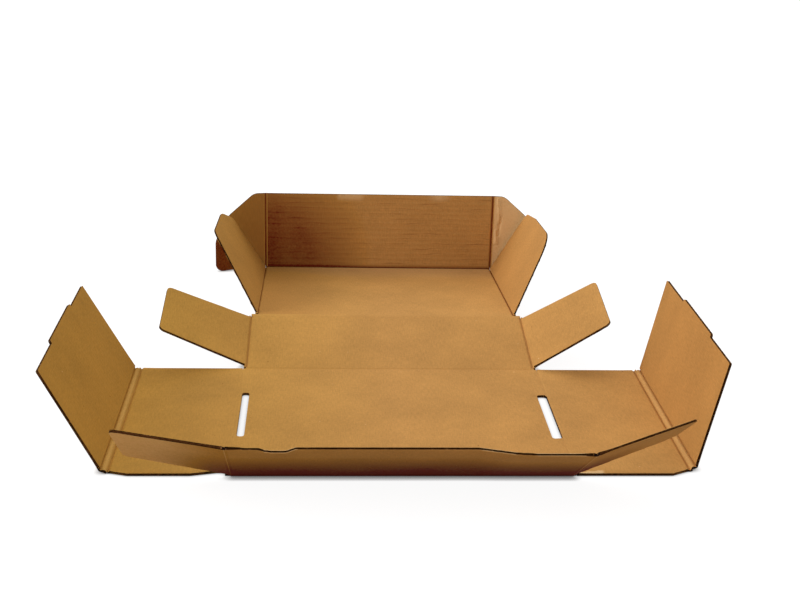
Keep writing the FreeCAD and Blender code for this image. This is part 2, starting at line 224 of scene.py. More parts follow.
class PaperSettings(bpy.types.PropertyGroup):
    """The colours of the papers."""
    liner: colour("Liner", "Inside and outside of the board", "C4904F")
    # Painted shade: the yellower tint that the liner takes towards the box's left.
    left_shade_tint: colour("Yellowed liner", "The same paper where it has yellowed, at the box's left", "BF8F3C")
    medium: colour("Medium", "Fluted paper, seen at open edges", "6A4424")
    edge: colour("Cut edge", "Paper where the die has cut it", "180704")
    # Painted shade: the colour that creases, the front wall's foot, the tuck flap's left end, the left ear and some
    # whole panels darken towards; dark flecks of bark go towards it as well.
    painted_shade: colour("Stain", "Damp and grime in folds and at the front wall's foot", "70200E")
    torn: colour("Torn", "Fibres pulled out along a cut edge", "9C7048")
    # Also the colour that painted light and painted highlights make the paper paler towards.
    pale: colour("Rubbed", "Paper that is rubbed or torn to its pale fibres", "E8C08A")


class WearAndShadeSettings(bpy.types.PropertyGroup):
    """What handling has done to the box, and how far up the front wall its painted shade reaches."""
    bend: rotation("Bend", "How far the front wall's right end is bent down", math.radians(2.8))
    bend_start: length("Bend start", "The bend starts this far right of the middle", 48.0)
    bend_end: length("Bend end", "The bend ends this far right of the middle", 92.0)
    dent: length("Dent", "How far the front wall's top edge is pressed out near its left end", 2.2)
    # Painted shade: how far the darkening at the front wall's foot reaches up it.
    foot_shade: length("Grime", "How far grime reaches up the front wall from its foot", 62.0)
    crumple: length("Crumple", "Height of the creases crumpled into the right tuck ear", 1.5)


class StageSettings(bpy.types.PropertyGroup):
    """Camera and light."""
    camera: FloatVectorProperty(name="Camera", description="Where the camera stands",
                                default=(-0.07327, -1.09581, 0.52318), size=3, unit="LENGTH", subtype="TRANSLATION")
    pitch: rotation("Pitch", "How far the camera looks down", 0.3518)
    yaw: rotation("Yaw", "How far it looks to the right", 0.068)
    roll: rotation("Roll", "And how far it is tilted over to the left", 0.0318)
    shift: FloatVectorProperty(name="Shift", description="How far its frame is moved right and up, as a share",
                               default=(-0.0023125, 0.0012625), size=2)
    lens: FloatProperty(name="Lens", description="Focal length of the camera", default=57.92, unit="CAMERA")
    world: FloatProperty(name="Surroundings", description="Light from all round", default=0.57, min=0)
    contact: length("Contact", "How near the box the floor is darkened by it", 6.0)
    floor: colour("Floor", "Colour of the floor and of the surroundings", "FFFFFF")
    bounce: colour("Bounce", "Colour of the light that the table throws back", "BCA47C")


def eased(value, low, high):
    """0 below low, 1 above high and smooth between them; the other way round where low is above high."""
    share = min(max((value - low) / (high - low), 0), 1)
    return share * share * (3 - 2 * share)


def fade(place, none, full):
    """0 at one distance in mm, 1 at the other and smooth between them, for a place in metres."""
    return eased(place / MM, none, full)


def activate(piece):
    """Leaves edit mode and makes piece the only selected object."""
    if bpy.context.object and bpy.context.object.mode != "OBJECT":
        bpy.ops.object.mode_set(mode="OBJECT")
    bpy.ops.object.select_all(action="DESELECT")
    piece.select_set(True)
    bpy.context.view_layer.objects.active = piece


def pick(piece, chosen, kind="vertices"):
    """Opens piece in edit mode with those of its vertices, edges or polygons selected for which chosen is true."""
    activate(piece)
    bpy.ops.object.mode_set(mode="EDIT")
    bpy.context.tool_settings.mesh_select_mode = [kind == each for each in ("vertices", "edges", "polygons")]
    bpy.ops.mesh.select_all(action="DESELECT")
    bpy.ops.object.mode_set(mode="OBJECT")
    getattr(piece.data, kind).foreach_set("select", chosen)
    bpy.ops.object.mode_set(mode="EDIT")


def pick_points(piece, test=lambda co: True):
    """Opens piece in edit mode with the points selected whose place passes the test."""
    activate(piece)
    pick(piece, [test(v.co) for v in piece.data.vertices])


def pick_faces(piece, test):
    """Opens piece in edit mode with the faces selected whose centre and normal pass the test."""
    activate(piece)
    pick(piece, [test(face.center, face.normal) for face in piece.data.polygons], "polygons")


def turn(angle, axis):
    """Turns what is selected about the origin.  With no window the operator turns the other way."""
    bpy.ops.transform.rotate(value=-angle, orient_axis=axis, orient_type="GLOBAL", center_override=(0, 0, 0))


def apply_modifier(piece, kind, **settings):
    """Adds a modifier with its settings and applies it."""
    activate(piece)
    modifier = piece.modifiers.new(kind.title(), kind)
    for name, value in settings.items():
        setattr(modifier, name, value)
    bpy.ops.object.modifier_apply(modifier=modifier.name)


def lay(piece, matrix):
    """Puts the place of piece into its mesh."""
    activate(piece)
    piece.matrix_world = matrix
    bpy.ops.object.transform_apply(location=True, rotation=True, scale=True)


def joined(pieces, name):
    """One object out of several."""
    activate(pieces[0])
    for piece in pieces[1:]:
        piece.select_set(True)
    bpy.ops.object.join()
    pieces[0].name = pieces[0].data.name = name
    return pieces[0]


def panel_frame(node):
    """Where the node's flat panel lies: X along its own fold, Y across the panel, Z out of its inside face."""
    board = bpy.context.scene.mailer_board
    if node not in HINGES:
        return Matrix.Translation((0, 0, board.lip))
    hinge, mesh = HINGES[node], NODES[node].data
    origin = Vector(hinge["pos_m"])
    along = Vector(hinge["axis"]).normalized() * (-1 if node == "lid" else 1)
    middle = sum((v.co for v in mesh.vertices), Vector()) / len(mesh.vertices) - origin
    normal = max(mesh.polygons, key=lambda p: p.area).normal
    if along.cross(middle).dot(normal) < 0:
        normal = -normal
    axes = Matrix((along, normal.cross(along), normal)).transposed()
    return Matrix.Translation(origin) @ axes.to_4x4()


def flat_copy(node, place):
    """A copy of the CAD panel, laid flat and with its loose triangles merged."""
    copy = NODES[node].copy()
    copy.data = NODES[node].data.copy()
    bpy.context.collection.objects.link(copy)
    copy.hide_render = copy.hide_viewport = False
    copy.parent = None
    lay(copy, place.inverted())
    pick_points(copy)
    bpy.ops.mesh.remove_doubles(threshold=MERGE)
    bpy.ops.object.mode_set(mode="OBJECT")
    if node == "front_wall":
        bend_front(copy, [v.co.copy() for v in copy.data.vertices], -1)
    return copy


def outline_cutter(node, place):
    """The panel's outline as a deep block, cut back from every fold by the reach of its crease, and those cuts."""
    board = bpy.context.scene.mailer_board
    cutter = flat_copy(node, place)
    flatten = place.inverted()
    cuts = [(Vector((0, board.crease_reach, 0)), Vector((0, -1, 0)))] if node in HINGES else []
    for child, hinge in HINGES.items():
        if hinge["parent"] == node:
            child_frame = flatten @ panel_frame(child)
            away = Vector((0, 0, 1)).cross(child_frame.to_3x3().col[0]).normalized()
            cuts.append((child_frame.translation - away * board.crease_reach, away))
    for point, normal in cuts:
        pick_points(cutter)
        bpy.ops.mesh.bisect(plane_co=point, plane_no=normal, clear_outer=True, use_fill=True)
    bpy.ops.mesh.select_all(action="SELECT")
    bpy.ops.transform.resize(value=(1, 1, 3), center_override=(0, 0, 0))
    bpy.ops.object.mode_set(mode="OBJECT")
    return cutter, cuts


def paper_layer(size, heights, thickness, offset, material):
    """A sheet of paper whose rows rise and fall once in each flute; size is along and across the flutes."""
    board = bpy.context.scene.mailer_board
    rows = len(heights) - 1
    columns = max(2, round(size[0] / board.column))
    count = math.ceil(size[1] / board.flute)
    bpy.ops.object.select_all(action="DESELECT")
    bpy.ops.mesh.primitive_grid_add(x_subdivisions=columns, y_subdivisions=rows, size=1)
    layer = bpy.context.object
    layer.scale = (size[0], board.flute, 1)
    bpy.ops.object.transform_apply(scale=True)
    for row, height in enumerate(heights):
        level = (row / rows - 0.5) * board.flute
        pick_points(layer, lambda co: abs(co.y - level) < board.flute / rows / 4 and abs(co.z) < MERGE)
        bpy.ops.transform.translate(value=(0, 0, height))
    apply_modifier(layer, "ARRAY", use_relative_offset=False, use_constant_offset=True, count=count,
                   constant_offset_displace=(0, board.flute, 0), use_merge_vertices=True, merge_threshold=MERGE)
    apply_modifier(layer, "SOLIDIFY", thickness=thickness, offset=offset)
    lay(layer, Matrix.Translation((0, (1 - count) * board.flute / 2, 0)))
    layer.data.materials.append(material)
    return layer


def sandwich(name, size, washboard):
    """A sheet of corrugated board: two liners and the fluted medium between them, flutes along X.

    The medium rises and falls in eight steps to a flute, and the liners sink in four where it leaves them.
    """
    board = bpy.context.scene.mailer_board
    top = board.thickness - board.lip
    rise = board.thickness / 2 - board.liner - board.medium / 2 - board.medium * PLAY
    middle = top - board.thickness / 2
    wave = [middle + rise * math.cos(2 * math.pi * step / 8) for step in range(9)]
    sag = [washboard * math.sin(math.pi * step / 4) ** 2 for step in range(5)]
    lift = [washboard * math.cos(math.pi * step / 4) ** 2 for step in range(5)]
    upper = paper_layer(size, [top - s for s in sag], board.liner, -1, bpy.data.materials[LINER])
    lower = paper_layer(size, [s - board.lip for s in lift], board.liner, 1, bpy.data.materials[LINER])
    fluted = paper_layer(size, wave, board.medium, 0, bpy.data.materials[MEDIUM])
    return joined([upper, lower, fluted], name)


def beside_fold(co, folds):
    """Whether a point of the flat board lies where a board meets its crease."""
    return any(abs((co - point).dot(normal.normalized())) < MM / 10 for point, normal in folds)


def mark_cut_edges(piece, folds):
    """Gives the faces that stand upright in the flat board the colour of a cut edge, but not beside a fold."""
    piece.data.materials.append(bpy.data.materials[EDGE])
    edge = len(piece.data.materials) - 1
    for face in piece.data.polygons:
        if abs(face.normal.z) < UPRIGHT and not beside_fold(face.center, folds):
            face.material_index = edge


def pinch_edges(piece, folds, share):
    """Presses the board thinner at its cut edges, as a die does, but not beside its creases."""
    board = bpy.context.scene.mailer_board
    edge = piece.data.materials.find(EDGE)
    rim = {i for face in piece.data.polygons if face.material_index == edge for i in face.vertices}
    pick(piece, [v.index in rim and not beside_fold(v.co, folds) for v in piece.data.vertices])
    middle = board.thickness / 2 - board.lip
    bpy.ops.transform.resize(value=(1, 1, share), center_override=(0, 0, middle))
    bpy.ops.object.mode_set(mode="OBJECT")


def map_flat(piece, places, turned, valley=(0, 0)):
    """A UV map of the flat board in metres: U along the flutes, V across them from the valley between two."""
    layer = piece.data.uv_layers.new(name="flat")
    for loop in piece.data.loops:
        x, y = (places[loop.vertex_index][i] - valley[i] for i in (0, 1))
        layer.data[loop.index].uv = (y, x) if turned else (x, y)


def mark_points(piece, name, values):
    """A number for each point: its wear and its painted light and shade, or how far the flute lines show through it.
    """
    mark = piece.data.attributes.new(name, "FLOAT", "POINT")
    mark.data.foreach_set("value", values)


def runs_across(node):
    """Whether the flutes run across the node's own fold line instead of along it."""
    return node.startswith(SIDES)


def finish_piece(piece, place, body):
    """Lays a flat piece in its place and hands it to its body."""
    lay(piece, place)
    bpy.ops.object.shade_smooth_by_angle(angle=math.radians(40))
    if body:
        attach(piece, body)


def make_board(node, wear_and_painted_light=lambda co: 0, flutes=lambda co: 0, cuts=((), ()), shape=None):
    """A panel of corrugated board with the outline of the CAD node, which it stands for.

    wear_and_painted_light and flutes give each point of the flat board its marks: its wear and painted light and
    shade, and how far the flute lines show.  cuts are the x and the y of lines of points that are added for them and
    for shape, which bends the flat board.
    """
    board = bpy.context.scene.mailer_board
    place = panel_frame(node)
    cutter, folds = outline_cutter(node, place)
    low, high = (Vector(f(v.co[i] for v in cutter.data.vertices) for i in range(3)) for f in (min, max))
    extent = high - low
    across = runs_across(node)
    margin = 2 * board.flute
    size = (extent.y + margin, extent.x + margin) if across else (extent.x + margin, extent.y + margin)
    piece = sandwich(node + "_board", size, board.tuck_washboard if node == "tuck_flap" else board.washboard)
    middle = (low + high) / 2
    lay(piece, Matrix.Translation((middle.x, middle.y, 0)) @ Matrix.Rotation(math.pi / 2 if across else 0, 4, "Z"))
    apply_modifier(piece, "BOOLEAN", operation="INTERSECT", solver="MANIFOLD", object=cutter)
    bpy.data.objects.remove(cutter)
    if not piece.data.polygons:
        raise RuntimeError(f"Nothing is left of the board of {node}")
    mark_cut_edges(piece, folds)
    pinch_edges(piece, folds, board.worn_pinch if node in WORN else board.pinch)
    for axis in (0, 1):
        add_cuts(piece, cuts[axis], axis)
    places = [v.co.copy() for v in piece.data.vertices]
    half_row = (math.ceil(size[1] / board.flute) - 1) * board.flute / 2
    map_flat(piece, places, across, (middle.x - half_row, middle.y - half_row))
    mark_points(piece, "wear_and_painted_light", [wear_and_painted_light(co) for co in places])
    mark_points(piece, "flutes", [flutes(co) for co in places])
    if shape:
        shape(piece, places)
        bpy.ops.object.mode_set(mode="OBJECT")
    finish_piece(piece, place, node)
    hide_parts(node)


def add_cuts(piece, places, axis):
    """Adds lines of points to the flat piece at these places along an axis, so that it can bend there."""
    normal = [0, 0, 0]
    normal[axis] = 1
    for place in places:
        pick_points(piece)
        bpy.ops.mesh.bisect(plane_co=[place * n for n in normal], plane_no=normal)
    bpy.ops.object.mode_set(mode="OBJECT")


def bend_front(piece, places, share=1):
    """Bends the right end of the front wall, or of its crease, down in small steps, or back for a share of -1.

    The steps are equal turns, set closer together towards the middle of the bend, where it is sharpest.
    """
    wear_and_painted_light = bpy.context.scene.mailer_wear
    steps = 12
    for step in range(steps):
        turned = (step + 0.5) / steps
        way = 0.5 - math.sin(math.asin(1 - 2 * turned) / 3)
        level = wear_and_painted_light.bend_start + way * (wear_and_painted_light.bend_end - wear_and_painted_light.bend_start)
        pick(piece, [place.y > MERGE and place.x < -level for place in places])
        turn(-share * wear_and_painted_light.bend / steps, "X")
    bpy.ops.object.mode_set(mode="OBJECT")


def shape_front_wall(piece, places):
    """The front wall's bend, the dent and waves along its top edge, and the pale paper where that edge is torn.

    A dent is pressed in steps, each over a part that is narrower and nearer to the edge than the one before.
    """
    wear_and_painted_light = bpy.context.scene.mailer_wear
    top = max(co.y for co in places)
    for face in piece.data.polygons:
        if face.center.y > top - MM / 4 and face.center.z < -0.6 * MM and is_torn(face.center):
            face.material_index = 0
    steps = 6
    for start, end, depth in DENTS:
        centre, half = (start + end) / 2 * MM, (end - start) / 2 * MM
        for step in range(steps):
            way = (step + 0.5) / steps
            low, width = top - (1 - way) * DENT_REACH * MM, half * (1.25 - 0.5 * way)
            pick(piece, [co.y > low and abs(co.x - centre) < width for co in places])
            bpy.ops.transform.translate(value=(0, 0, -depth * wear_and_painted_light.dent / steps))
    bpy.ops.object.mode_set(mode="OBJECT")
    bend_front(piece, places)


def crumpled(co, width, marks=CRUMPLES):
    """Whether a place on the right ear lies within a width in mm of one of these crumples."""
    x, y = co.x / MM, co.y / MM
    return any(start < x < end and abs(y - at - slant * (x - start)) < width for start, end, at, slant, _ in marks)


def shape_right_ear(piece, places):
    """Creases crumpled into the right tuck ear beside its fold."""
    height = bpy.context.scene.mailer_wear.crumple
    for mark in CRUMPLES:
        for width in CRUMPLE_WIDTHS:
            pick(piece, [crumpled(co, width, [mark]) for co in places])
            bpy.ops.transform.translate(value=(0, 0, mark[-1] * height / len(CRUMPLE_WIDTHS)))
    bpy.ops.object.mode_set(mode="OBJECT")


def fold_angle(node, place):
    """How far the panel is folded from flat at rest."""
    origin, along, normal = place.translation, place.to_3x3().col[0], place.to_3x3().col[2]
    parent = HINGES[node]["parent"]
    mesh = NODES[parent].data

    def touches(face):
        """Whether a face of the carrying panel comes as near to the fold as the lip's relief lets it."""
        offsets = [mesh.vertices[i].co - origin for i in face.vertices]
        return any((o - along * o.dot(along)).length < 2.5 * MM for o in offsets)

    beside = max(filter(touches, mesh.polygons), key=lambda face: face.area).normal.copy()
    if beside.dot(panel_frame(parent).to_3x3().col[2]) < 0:
        beside = -beside
    return math.atan2(beside.cross(normal).dot(along), beside.dot(normal))


def span(piece, place, low, high):
    """Lowest and highest x, in place, of the piece's points near the flat panel whose y is between low and high."""
    back = place.inverted()
    points = [back @ v.co for v in piece.data.vertices]
    xs = [p.x for p in points if low < p.y < high and abs(p.z) < 4 * MM]
    return min(xs), max(xs)


def trim(piece, forward, ends):
    """Cuts the half of a flat strip on one side of its fold line to its ends, each a point and a direction out."""
    for point, outward in ends:
        pick_faces(piece, lambda centre, normal: (centre.y > 0) == forward)
        bpy.ops.mesh.bisect(plane_co=point, plane_no=outward, clear_outer=True)
    bpy.ops.object.mode_set(mode="OBJECT")


def crease_marks(node):
    """The depth, the painted shade and the painted highlight of the node's crease, which are the same on the left and
    the right.
    """
    return CREASES[node.removeprefix("left_").removeprefix("right_")]


def crease_wear_and_painted_light(node, co):
    """Painted shade in a line inside a crease and a painted highlight outside it, painted shade at the front wall's
    foot and inside the tuck flap's crease, and rubbing on the spines.

    The darker the line inside is, the wider it is as well.
    """
    reach = bpy.context.scene.mailer_board.crease_reach
    _, dark, pale = crease_marks(node)
    if co.z < -MM:
        wear_and_painted_light = pale * eased(abs(co.y), 0.22 * reach, 0)
    else:
        wear_and_painted_light = -dark * eased(abs(co.y), min(0.3 + 0.6 * dark, 0.9) * reach, 0)
    if node == "front_wall":
        wear_and_painted_light += foot_shade(co, 0)
    elif node.endswith("front_flap"):
        wear_and_painted_light += foot_shade(co, abs(co.x))
    elif node == "tuck_flap":
        wear_and_painted_light -= TUCK_CREASE_SHADE * (co.z > -MM)
    elif (co.y > 0 and node.endswith("spine")) or (co.y < 0 and node.endswith("rollover")):
        wear_and_painted_light += SPINE_RUB
    return wear_and_painted_light


def crease_ends(node, place, flat, full):
    """Where a crease ends along its fold: on the panel that carries it, on the node's, and where its board starts.

    A full crease is as long as the panel that carries it is at the fold, the others are as long as its board.
    """
    reach = bpy.context.scene.mailer_board.crease_reach
    parent = HINGES[node]["parent"]
    near = span(NODES[node], place, -MM, 2 * MM)
    far = span(bpy.data.objects[node + "_board"], place, 0, reach + MM)
    if full:
        other = span(NODES[parent], flat, -2 * MM, MM)
    else:
        other = span(bpy.data.objects[parent + "_board"], flat, -reach - MM / 2, 0)
    return other, near, far


def crushed_face(name, levels, low, high, depth):
    """The inside face of a flat crease: rows of points at these levels, which sink by depth towards the fold."""
    board = bpy.context.scene.mailer_board
    reach = board.crease_reach
    columns = round((high - low) / board.flute * 2)
    bpy.ops.object.select_all(action="DESELECT")
    bpy.ops.mesh.primitive_grid_add(x_subdivisions=columns, y_subdivisions=CREASE_ROWS, size=1)
    strip = bpy.context.object
    strip.name = strip.data.name = name
    strip.scale = (high - low, 2 * reach, 1)
    bpy.ops.object.transform_apply(scale=True)
    lay(strip, Matrix.Translation(((low + high) / 2, 0, 0)))
    for level in levels:
        height = board.thickness - board.lip - depth * MM * (1 - (level / reach) ** 2) ** 2
        pick_points(strip, lambda co: abs(co.y - level) < reach / CREASE_ROWS / 2 and abs(co.z) < MERGE)
        bpy.ops.transform.translate(value=(0, 0, height))
    bpy.ops.object.mode_set(mode="OBJECT")
    return strip


def thicken(strip):
    """Extrudes the crease's inside face to a flat outside one."""
    board = bpy.context.scene.mailer_board
    pick_points(strip)
    bpy.ops.mesh.extrude_region_move(TRANSFORM_OT_translate={"value": (0, 0, -board.thickness)})
    bpy.ops.transform.resize(value=(1, 1, 0), center_override=(0, 0, -board.lip))
    bpy.ops.mesh.select_all(action="SELECT")
    bpy.ops.mesh.normals_make_consistent(inside=False)
    bpy.ops.object.mode_set(mode="OBJECT")


def make_crease(node, seed, full=False):
    """The crushed strip at the node's own fold line, which bends between it and the panel that carries it."""
    board = bpy.context.scene.mailer_board
    reach = board.crease_reach
    place = panel_frame(node)
    fold = fold_angle(node, place)
    flat = place @ Matrix.Rotation(-fold, 4, "X")
    other, near, far = crease_ends(node, place, flat, full)
    levels = [(2 * row / CREASE_ROWS - 1) * reach for row in range(CREASE_ROWS + 1)]
    strip = crushed_face(node + "_crease", levels, min(near[0], other[0]), max(near[1], other[1]),
                         crease_marks(node)[0])
    pick_points(strip, lambda co: abs(co.y) < CRUSHED * reach)
    bpy.ops.transform.vertex_random(offset=board.washboard, seed=seed)
    trim(strip, False, [((other[0], 0, 0), (-1, 0, 0)), ((other[1], 0, 0), (1, 0, 0))])
    trim(strip, True, [((near[0], 0, 0), (-reach, far[0] - near[0], 0)),
                       ((near[1], 0, 0), (reach, near[1] - far[1], 0))])
    thicken(strip)
    strip.data.materials.append(bpy.data.materials[LINER])
    if node.endswith("side_wall"):
        cut_tab_slot(strip, node)
    mark_cut_edges(strip, [(Vector((0, end, 0)), Vector((0, 1, 0))) for end in (-reach, reach)])
    places = [v.co.copy() for v in strip.data.vertices]
    map_flat(strip, places, runs_across(node))
    mark_points(strip, "wear_and_painted_light", [crease_wear_and_painted_light(node, co) for co in places])
    lost = (board.thickness - board.lip) * math.sin(abs(fold) / 2)
    half = max(reach * math.cos(fold / 2) - lost, LEAST_HALF * MM)
    done = 0
    for level in levels[1:]:
        share = eased(level, -half, half)
        pick(strip, [co.y > level - reach / CREASE_ROWS for co in places])
        turn(fold * (share - done), "X")
        done = share
    bpy.ops.object.mode_set(mode="OBJECT")
    if node == "front_wall":
        bend_front(strip, places)
    finish_piece(strip, flat, None)
    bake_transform(strip)


def cut_tab_slot(strip, node):
    """Cuts the outer part of the tab's slot out of the crease beside it, where the slot reaches that far."""
    place = panel_frame(node)
    board = bpy.context.scene.mailer_board
    base = flat_copy("base_panel", place)
    points = [v.co.copy() for v in base.data.vertices]
    bpy.data.objects.remove(base)
    inner = [co.x for co in points if -4 * board.crease_reach < co.y < -board.crease_reach - MM]
    low, high = min(inner), max(inner)
    if not any(low <= co.x <= high and -board.crease_reach < co.y < -MM / 2 for co in points):
        return
    bpy.ops.object.select_all(action="DESELECT")
    bpy.ops.mesh.primitive_cube_add(size=1)
    slot = bpy.context.object
    size = Matrix.Diagonal((high - low, 4 * board.crease_reach, 8 * board.thickness, 1))
    lay(slot, Matrix.Translation(((low + high) / 2, -2 * board.crease_reach, 0)) @ size)
    heights = [v.co.z for v in slot.data.vertices]
    pick(slot, [abs(heights[start] - heights[end]) > board.thickness for start, end in slot.data.edge_keys], "edges")
    bpy.ops.mesh.bevel(offset=SLOT_RADIUS * MM, segments=6, affect="EDGES")
    bpy.ops.object.mode_set(mode="OBJECT")
    apply_modifier(strip, "BOOLEAN", operation="DIFFERENCE", solver="MANIFOLD", object=slot)
    bpy.data.objects.remove(slot)


def node_in(tree, kind, settings=None, **links):
    """Adds a node with its settings, and links or sets its inputs by name."""
    made = tree.nodes.new(kind)
    for name, value in (settings or {}).items():
        setattr(made, name, value)
    for name, value in links.items():
        socket = made.inputs[int(name[1:])] if name[0] == "i" and name[1:].isdigit() else made.inputs[name]
        if isinstance(value, bpy.types.NodeSocket):
            tree.links.new(value, socket)
        else:
            socket.default_value = value
    return made


def new_material(name):
    """Adds a material and gives back its node tree and its shader."""
    material = bpy.data.materials.new(name)
    material.use_nodes = True
    return material.node_tree, material.node_tree.nodes["Principled BSDF"]


def stretched(tree, flat, sizes, detail):
    """Noise on the flat board whose patches are this long along and across the flutes, in mm."""
    scale = (*(1 / (size * MM) for size in sizes), 1)
    place = node_in(tree, "ShaderNodeMapping", None, Vector=flat, Scale=scale).outputs[0]
    return node_in(tree, "ShaderNodeTexNoise", None, Vector=place, Scale=1.0, Detail=detail).outputs["Fac"]


def kraft_colour(tree, place, paper, cloud, grit, fibre):
    """Unbleached kraft, with painted shade that makes it yellower at the box's left, in tones that follow the clouds,
    the grit and the fibres.

    The patterns' weighted sum lies between about 0.26 and 0.59, and is spread to what the colour is multiplied by.
    """
    side = node_in(tree, "ShaderNodeSeparateXYZ", None, Vector=place).outputs["X"]
    left, right = (x * MM for x in LEFT_SHADE_SPAN)
    side = node_in(tree, "ShaderNodeMapRange", None, Value=side, **{"From Min": left, "From Max": right})
    kraft = node_in(tree, "ShaderNodeMix", {"data_type": "RGBA"}, i0=side.outputs[0], i6=(*paper.left_shade_tint, 1),
                    i7=(*paper.liner, 1)).outputs[2]
    tone = node_in(tree, MATH, {"operation": "MULTIPLY"}, i0=cloud, i1=0.35).outputs[0]
    for pattern in (grit, fibre):
        tone = node_in(tree, MATH, {"operation": "MULTIPLY_ADD"}, i0=pattern, i1=0.25, i2=tone).outputs[0]
    tone = node_in(tree, "ShaderNodeMapRange", None, Value=tone,
                   **{"From Min": 0.26, "From Max": 0.59, "To Min": 0.74, "To Max": 1.2}).outputs[0]
    return node_in(tree, "ShaderNodeVectorMath", {"operation": "SCALE"}, i0=kraft, Scale=tone).outputs[0]


def patchy_wear_and_painted_light(tree, place, cloud, grit):
    """The board's wear and painted light and shade, with flecks added, dark or pale, and broken up by the clouds
    and the grit.
    """
    specks = node_in(tree, "ShaderNodeTexVoronoi", None, Vector=place, Scale=1 / (SPECKS * MM))
    kind = node_in(tree, "ShaderNodeSeparateColor", None, Color=specks.outputs["Color"]).outputs[0]
    kind = node_in(tree, "ShaderNodeMapRange", None, Value=kind,
                   **{"To Min": -FLECK_TONE, "To Max": FLECK_TONE}).outputs[0]
    core, rim = (size / SPECKS for size in FLECK)
    dot = node_in(tree, "ShaderNodeMapRange", None, Value=specks.outputs["Distance"],
                  **{"From Min": core, "From Max": rim, "To Min": 1, "To Max": 0}).outputs[0]
    wear_and_painted_light = node_in(tree, "ShaderNodeAttribute", {"attribute_name": "wear_and_painted_light"}).outputs["Fac"]
    wear_and_painted_light = node_in(tree, MATH, {"operation": "MULTIPLY_ADD"}, i0=dot, i1=kind, i2=wear_and_painted_light).outputs[0]
    patchy = node_in(tree, MATH, {"operation": "ADD"}, i0=grit, i1=cloud).outputs[0]
    return node_in(tree, MATH, {"operation": "MULTIPLY"}, i0=wear_and_painted_light, i1=patchy).outputs[0]


def flute_lines(tree, flat, flute):
    """Painted shade: thin broken dark lines in the valleys between two flutes, where the board shows them."""
    across = node_in(tree, "ShaderNodeSeparateXYZ", None, Vector=flat).outputs["Y"]
    row = node_in(tree, MATH, {"operation": "MULTIPLY_ADD"}, i0=across, i1=1 / flute,
                  i2=stretched(tree, flat, WAVER, 2.0)).outputs[0]
    row = node_in(tree, MATH, {"operation": "PINGPONG"}, i0=row, i1=0.5).outputs[0]
    line = node_in(tree, "ShaderNodeMapRange", None, Value=row,
                   **{"From Min": LINE[0], "From Max": LINE[1], "To Min": 1, "To Max": 0}).outputs[0]
    broken = node_in(tree, "ShaderNodeMapRange", None, Value=stretched(tree, flat, BREAKS, 1.0),
                     **{"From Min": 0.4, "From Max": 0.65}).outputs[0]
    shown = node_in(tree, "ShaderNodeAttribute", {"attribute_name": "flutes"}).outputs["Fac"]
    line = node_in(tree, MATH, {"operation": "MULTIPLY"}, i0=line, i1=broken).outputs[0]
    return node_in(tree, MATH, {"operation": "MULTIPLY"}, i0=line, i1=shown).outputs[0]


def make_liner_material(paper, flute):
    """Kraft linerboard: matt, cloudy brown with a faint grain along the machine and flecks of bark and pale fibre."""
    tree, shader = new_material(LINER)
    place = node_in(tree, "ShaderNodeTexCoord").outputs["Object"]
    flat = node_in(tree, "ShaderNodeUVMap", {"uv_map": "flat"}).outputs["UV"]
    cloud = node_in(tree, "ShaderNodeTexNoise", None, Vector=place, Scale=1 / (CLOUDS * MM), Detail=4.0,
                    Roughness=0.6).outputs["Fac"]
    grit = node_in(tree, "ShaderNodeTexNoise", None, Vector=place, Scale=1 / (GRIT * MM), Detail=3.0,
                   Roughness=0.7).outputs["Fac"]
    fibre = stretched(tree, flat, FIBRES, 2.0)
    wear_and_painted_light = patchy_wear_and_painted_light(tree, place, cloud, grit)
    line = flute_lines(tree, flat, flute)
    # Painted shade: below 0 the colour goes towards the painted shade colour; dark flecks of bark go the same way.
    dark = node_in(tree, MATH, {"operation": "MULTIPLY"}, i0=wear_and_painted_light, i1=-1.0).outputs[0]
    # Painted shade along the flute lines.
    dark = node_in(tree, MATH, {"operation": "MULTIPLY_ADD", "use_clamp": True}, i0=line, i1=0.3, i2=dark).outputs[0]
    # Above 0 it goes towards the pale colour, for rubbed and torn paper and for painted light and highlights.
    pale = node_in(tree, MATH, {"operation": "ADD", "use_clamp": True}, i0=wear_and_painted_light, i1=0.0).outputs[0]
    tint = kraft_colour(tree, place, paper, cloud, grit, fibre)
    for share, other in ((pale, paper.pale), (dark, paper.painted_shade)):
        tint = node_in(tree, "ShaderNodeMix", {"data_type": "RGBA"}, i0=share, i6=tint, i7=(*other, 1)).outputs[2]
    tree.links.new(tint, shader.inputs["Base Color"])
    shader.inputs["Roughness"].default_value = 0.85
    shader.inputs["IOR"].default_value = 1.5
    shader.inputs["Specular IOR Level"].default_value = 0.1
    height = node_in(tree, MATH, {"operation": "ADD"}, i0=grit, i1=fibre).outputs[0]
    height = node_in(tree, MATH, {"operation": "MULTIPLY_ADD"}, i0=line, i1=-1.5, i2=height).outputs[0]
    bump = node_in(tree, "ShaderNodeBump", None, Height=height, Strength=0.35, Distance=0.3 * MM)
    tree.links.new(bump.outputs["Normal"], shader.inputs["Normal"])


def make_edge_paper(name, shade, torn):
    """Paper that shows only at cut edges: dark where light is lost between the liners, with tufts of pale fibre."""
    tree, shader = new_material(name)
    place = node_in(tree, "ShaderNodeTexCoord")
    grain = node_in(tree, "ShaderNodeTexNoise", None, Vector=place.outputs["Object"],
                    Scale=1 / (EDGE_FIBRES * MM)).outputs["Fac"]
    tone = node_in(tree, "ShaderNodeValToRGB", None, Fac=grain)
    stops = tone.color_ramp.elements
    stops[0].position, stops[0].color = 0.35, (*(c * 0.6 for c in shade), 1)
    stops[1].position, stops[1].color = 0.6, (*(min(c * 1.4, 1) for c in shade), 1)
    last = stops.new(0.68)
    last.color = (*torn, 1)
    tree.links.new(tone.outputs["Color"], shader.inputs["Base Color"])
    shader.inputs["Roughness"].default_value = 0.9
    shader.inputs["Specular IOR Level"].default_value = 0.1


